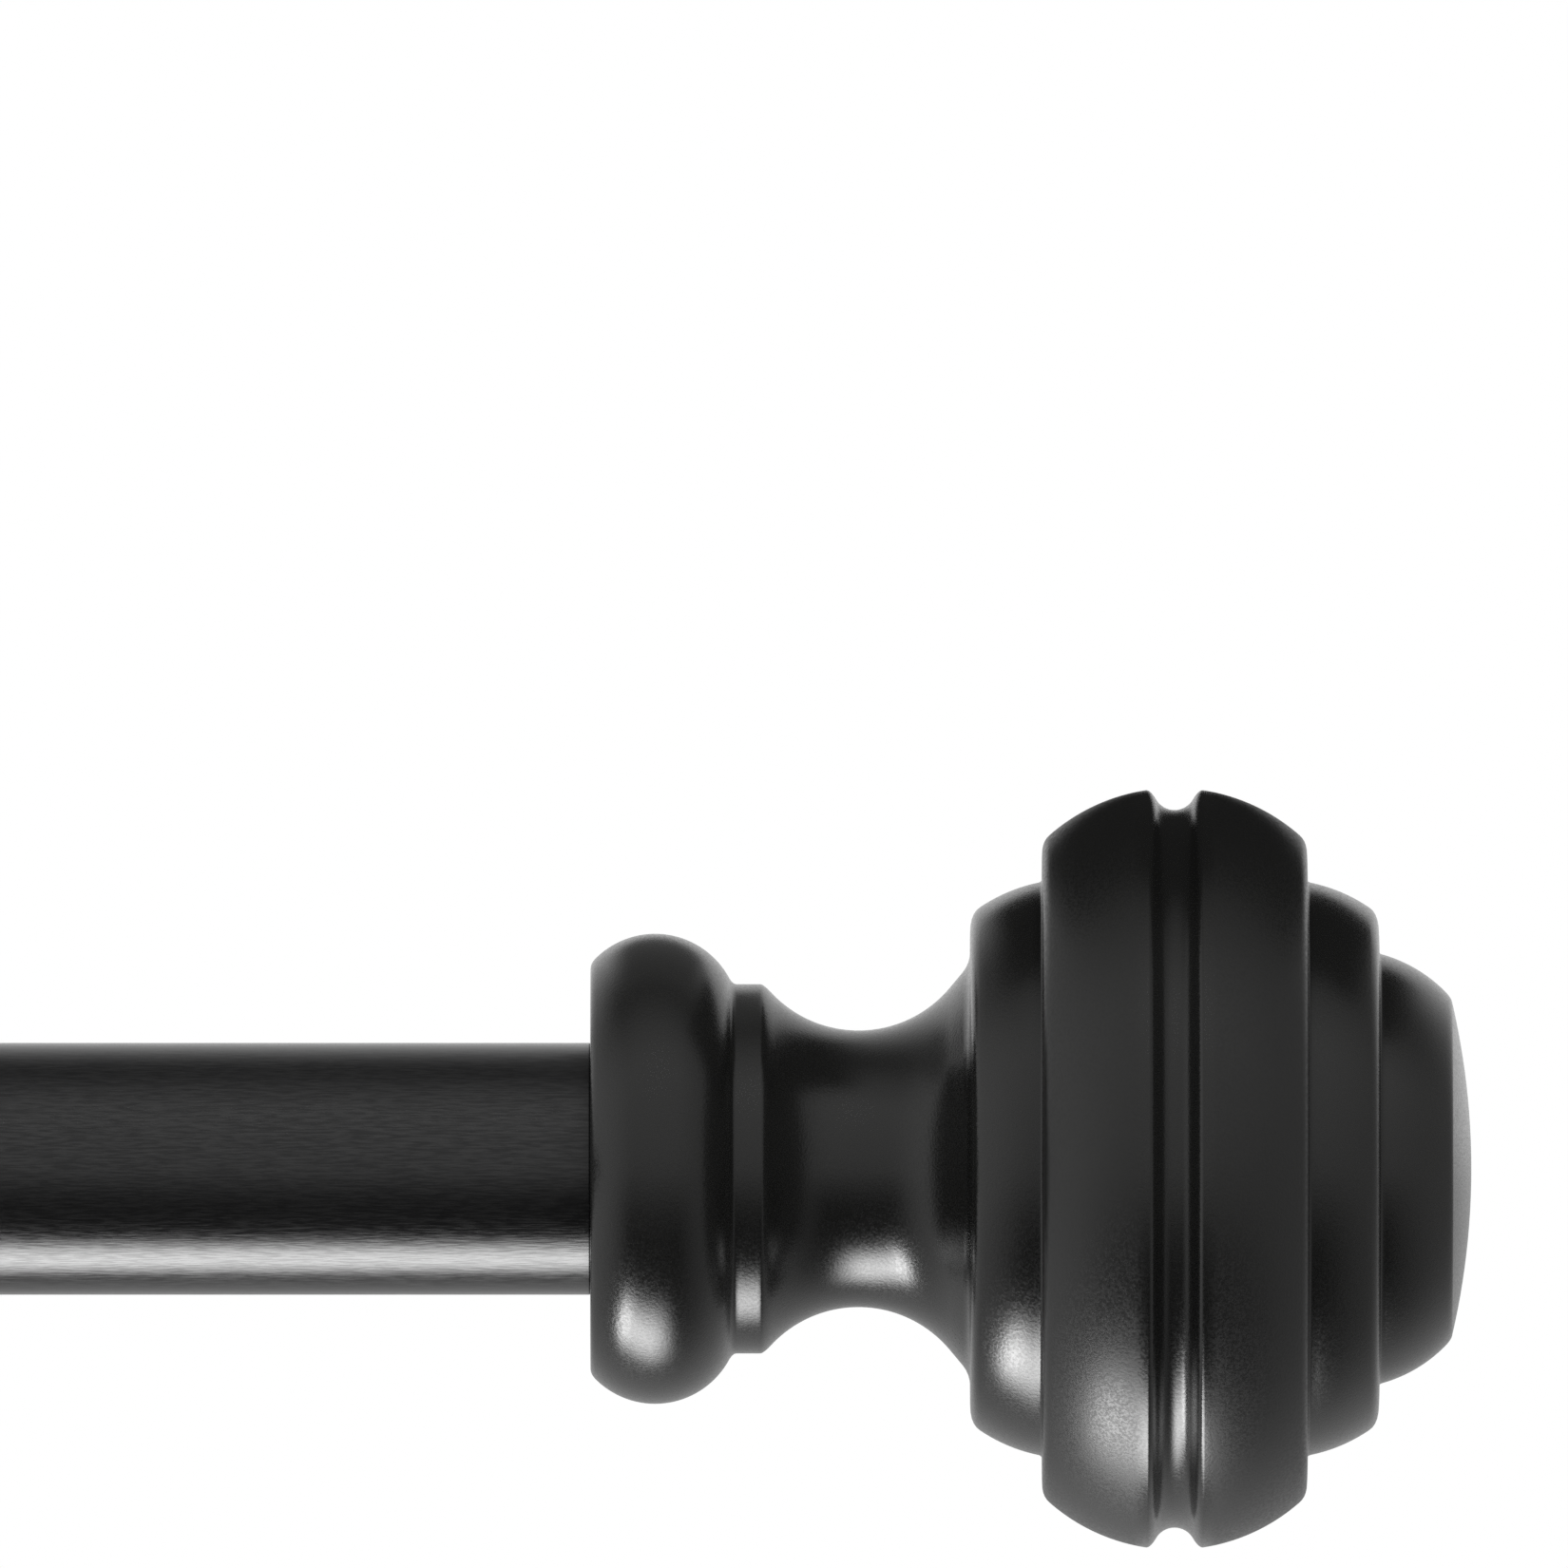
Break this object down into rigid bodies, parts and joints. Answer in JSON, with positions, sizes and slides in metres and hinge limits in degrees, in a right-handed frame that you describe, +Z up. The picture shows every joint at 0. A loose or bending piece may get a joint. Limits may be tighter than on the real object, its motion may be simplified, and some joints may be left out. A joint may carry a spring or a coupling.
{
  "type": "curtain rod with brackets",
  "caption": "Telescoping black metal curtain rod with turned, stepped ball finials, held off the wall by two adjustable brackets with drop-in cradles and thumb screws.",
  "frame": {"origin": "centre of the right wall plate's back face, on the wall", "axes": "+Z up, +X along the rod towards its right finial, +Y into the wall, so the room is at -Y"},
  "size_m": [0.8894, 0.1593, 0.0856],
  "materials": {
    "brushed_black": "satin black paint over steel brushed along its length",
    "powder_coat": "satin black powder coat",
    "satin_resin": "cast resin, painted satin black",
    "black_plastic": "moulded black plastic, fine matt",
    "zinc_steel": "bright zinc plate",
    "black_screw": "black oxide",
    "grey_nylon": "moulded grey nylon"
  },
  "bodies": {
    "right_bracket": {"right_wall_plate": "powder_coat", "right_wall_screw_upper": "black_screw", "right_wall_screw_lower": "black_screw", "right_wall_anchor_upper": "grey_nylon", "right_wall_anchor_lower": "grey_nylon", "right_arm_socket": "powder_coat", "right_lock_nut": "powder_coat"},
    "right_arm": {"right_arm_bar": "powder_coat", "right_cradle": "powder_coat", "right_cradle_screw": "black_screw", "right_clamp_nut": "powder_coat"},
    "outer_rod": {"outer_tube": "brushed_black", "outer_tube_collar": "black_plastic", "right_tube_plug": "black_plastic", "right_plug_nut": "zinc_steel"},
    "inner_rod": {"inner_tube": "brushed_black", "inner_tube_glide": "black_plastic", "left_tube_plug": "black_plastic", "left_plug_nut": "zinc_steel"},
    "left_bracket": {"left_wall_plate": "powder_coat", "left_wall_screw_upper": "black_screw", "left_wall_screw_lower": "black_screw", "left_wall_anchor_upper": "grey_nylon", "left_wall_anchor_lower": "grey_nylon", "left_arm_socket": "powder_coat", "left_lock_nut": "powder_coat"},
    "left_arm": {"left_arm_bar": "powder_coat", "left_cradle": "powder_coat", "left_cradle_screw": "black_screw", "left_clamp_nut": "powder_coat"},
    "right_lock_stud": {"right_lock_stud": "zinc_steel"},
    "right_lock_knob": {"right_lock_knob": "black_plastic"},
    "right_clamp_stud": {"right_clamp_stud": "zinc_steel"},
    "right_clamp_knob": {"right_clamp_knob": "black_plastic"},
    "left_lock_stud": {"left_lock_stud": "zinc_steel"},
    "left_lock_knob": {"left_lock_knob": "black_plastic"},
    "left_clamp_stud": {"left_clamp_stud": "zinc_steel"},
    "left_clamp_knob": {"left_clamp_knob": "black_plastic"},
    "right_finial_stud": {"right_finial_stud": "zinc_steel"},
    "right_finial": {"right_finial": "satin_resin"},
    "left_finial_stud": {"left_finial_stud": "zinc_steel"},
    "left_finial": {"left_finial": "satin_resin"}
  },
  "joints": [
    {"name": "right_arm_projection", "type": "slide", "parent": "right_bracket", "child": "right_arm", "axis": [0, -1, 0], "range_m": [0, 0.0254]},
    {"name": "rod_lift_out", "type": "slide", "parent": "right_arm", "child": "outer_rod", "axis": [0, 0, 1], "range_m": [0, 0.05]},
    {"name": "rod_extension", "type": "slide", "parent": "outer_rod", "child": "inner_rod", "axis": [-1, 0, 0], "range_m": [0, 0.508]},
    {"name": "left_bracket_position", "type": "slide", "parent": "right_bracket", "child": "left_bracket", "axis": [-1, 0, 0], "range_m": [0, 0.508]},
    {"name": "left_arm_projection", "type": "slide", "parent": "left_bracket", "child": "left_arm", "axis": [0, -1, 0], "range_m": [0, 0.0254]},
    {"name": "right_lock_travel", "type": "slide", "parent": "right_bracket", "child": "right_lock_stud", "axis": [0, 0, -1], "range_m": [0, 0.004]},
    {"name": "right_lock_turn", "type": "hinge", "parent": "right_lock_stud", "child": "right_lock_knob", "pos_m": [0, -0.037, -0.02], "axis": [0, 0, -1], "range_deg": [0, 1800]},
    {"name": "right_clamp_travel", "type": "slide", "parent": "right_arm", "child": "right_clamp_stud", "axis": [0, -1, 0], "range_m": [0, 0.004]},
    {"name": "right_clamp_turn", "type": "hinge", "parent": "right_clamp_stud", "child": "right_clamp_knob", "pos_m": [0, -0.1169, 0], "axis": [0, -1, 0], "range_deg": [0, 1800]},
    {"name": "left_lock_travel", "type": "slide", "parent": "left_bracket", "child": "left_lock_stud", "axis": [0, 0, -1], "range_m": [0, 0.004]},
    {"name": "left_lock_turn", "type": "hinge", "parent": "left_lock_stud", "child": "left_lock_knob", "pos_m": [-0.5432, -0.037, -0.01841], "axis": [0, 0, -1], "range_deg": [0, 1800]},
    {"name": "left_clamp_travel", "type": "slide", "parent": "left_arm", "child": "left_clamp_stud", "axis": [0, -1, 0], "range_m": [0, 0.004]},
    {"name": "left_clamp_turn", "type": "hinge", "parent": "left_clamp_stud", "child": "left_clamp_knob", "pos_m": [-0.5432, -0.1169, 0.00159], "axis": [0, -1, 0], "range_deg": [0, 1800]},
    {"name": "right_finial_travel", "type": "slide", "parent": "outer_rod", "child": "right_finial_stud", "axis": [1, 0, 0], "range_m": [0, 0.012]},
    {"name": "right_finial_turn", "type": "hinge", "parent": "right_finial_stud", "child": "right_finial", "pos_m": [0.084, -0.0889, 0], "axis": [1, 0, 0], "range_deg": [0, 4320]},
    {"name": "left_finial_travel", "type": "slide", "parent": "inner_rod", "child": "left_finial_stud", "axis": [-1, 0, 0], "range_m": [0, 0.012]},
    {"name": "left_finial_turn", "type": "hinge", "parent": "left_finial_stud", "child": "left_finial", "pos_m": [-0.6272, -0.0889, 0], "axis": [-1, 0, 0], "range_deg": [0, 4320]}
  ],
  "couplings": [
    {"joint": "left_bracket_position", "follows": "rod_extension", "ratio": 1},
    {"joint": "left_arm_projection", "follows": "right_arm_projection", "ratio": 1},
    {"joint": "right_lock_turn", "follows": "right_lock_travel", "rad_per_m": 7853},
    {"joint": "right_clamp_turn", "follows": "right_clamp_travel", "rad_per_m": 7853},
    {"joint": "left_lock_turn", "follows": "left_lock_travel", "rad_per_m": 7853},
    {"joint": "left_clamp_turn", "follows": "left_clamp_travel", "rad_per_m": 7853},
    {"joint": "right_finial_turn", "follows": "right_finial_travel", "rad_per_m": 6283},
    {"joint": "left_finial_turn", "follows": "left_finial_travel", "rad_per_m": 6283}
  ]
}
